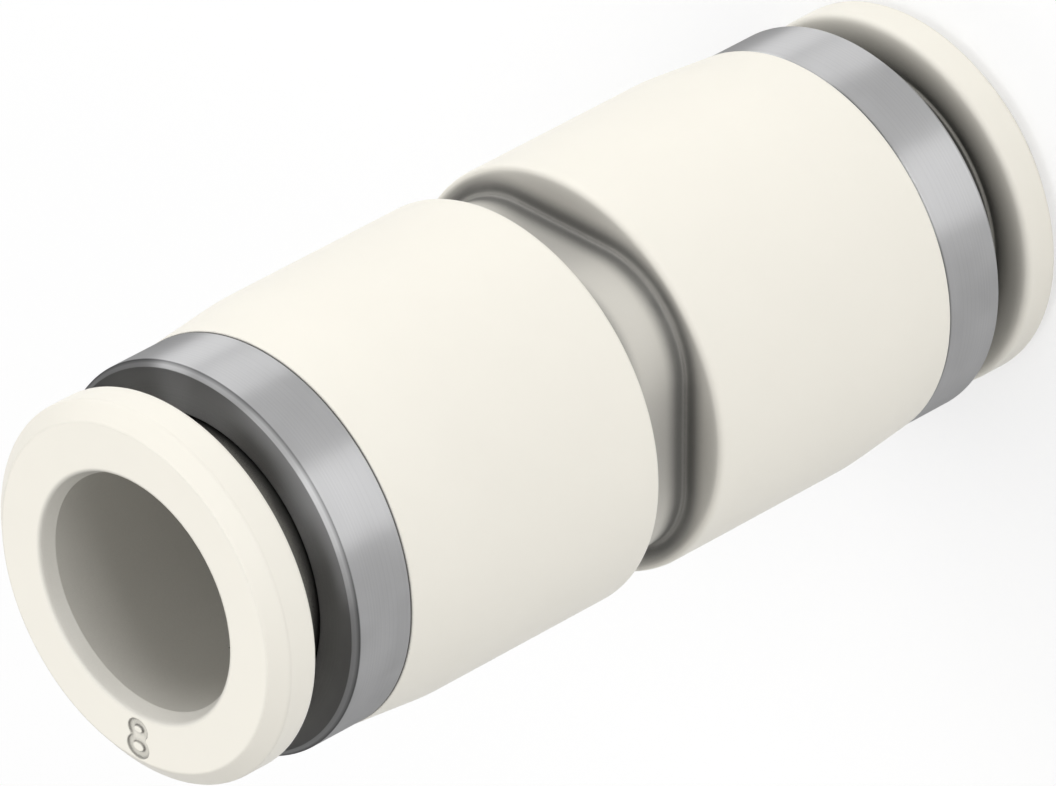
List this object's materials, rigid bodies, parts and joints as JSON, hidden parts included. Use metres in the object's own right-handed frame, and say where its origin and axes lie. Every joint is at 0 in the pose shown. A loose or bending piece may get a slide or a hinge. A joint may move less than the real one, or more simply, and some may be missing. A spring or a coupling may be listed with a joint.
{
  "type": "push-in fitting",
  "caption": "Straight push-in union for plastic air tube: cream plastic body with a waist groove, metal end caps and sliding release rings.",
  "frame": {"origin": "centre of the rear release ring's flat end face, which the fitting stands on", "axes": "+Z along the fitting's axis from the rear end to the front end; +X and +Y square to the flats of the waist groove"},
  "size_m": [0.0142, 0.0142, 0.0358],
  "materials": {
    "body_plastic": "moulded, satin, cream",
    "ring_plastic": "moulded, satin, cream",
    "cap_metal": "nickel-plated, finely turned",
    "claw_steel": "stainless spring sheet, bright",
    "support_plastic": "moulded, plain",
    "seal_rubber": "smooth black"
  },
  "bodies": {
    "fitting": {"body": "body_plastic", "front_cap": "cap_metal", "rear_cap": "cap_metal", "front_claw": "claw_steel", "rear_claw": "claw_steel", "front_support_ring": "support_plastic", "rear_support_ring": "support_plastic", "front_seal": "seal_rubber", "rear_seal": "seal_rubber"},
    "front_ring": {"front_release_ring": "ring_plastic"},
    "rear_ring": {"rear_release_ring": "ring_plastic"}
  },
  "joints": [
    {"name": "front_release", "type": "slide", "parent": "fitting", "child": "front_ring", "axis": [0, 0, -1], "range_m": [0, 0.00144], "stiffness_N_per_m": 12000, "deforming": ["front_claw"]},
    {"name": "rear_release", "type": "slide", "parent": "fitting", "child": "rear_ring", "axis": [0, 0, 1], "range_m": [0, 0.00144], "stiffness_N_per_m": 12000, "deforming": ["rear_claw"]}
  ]
}
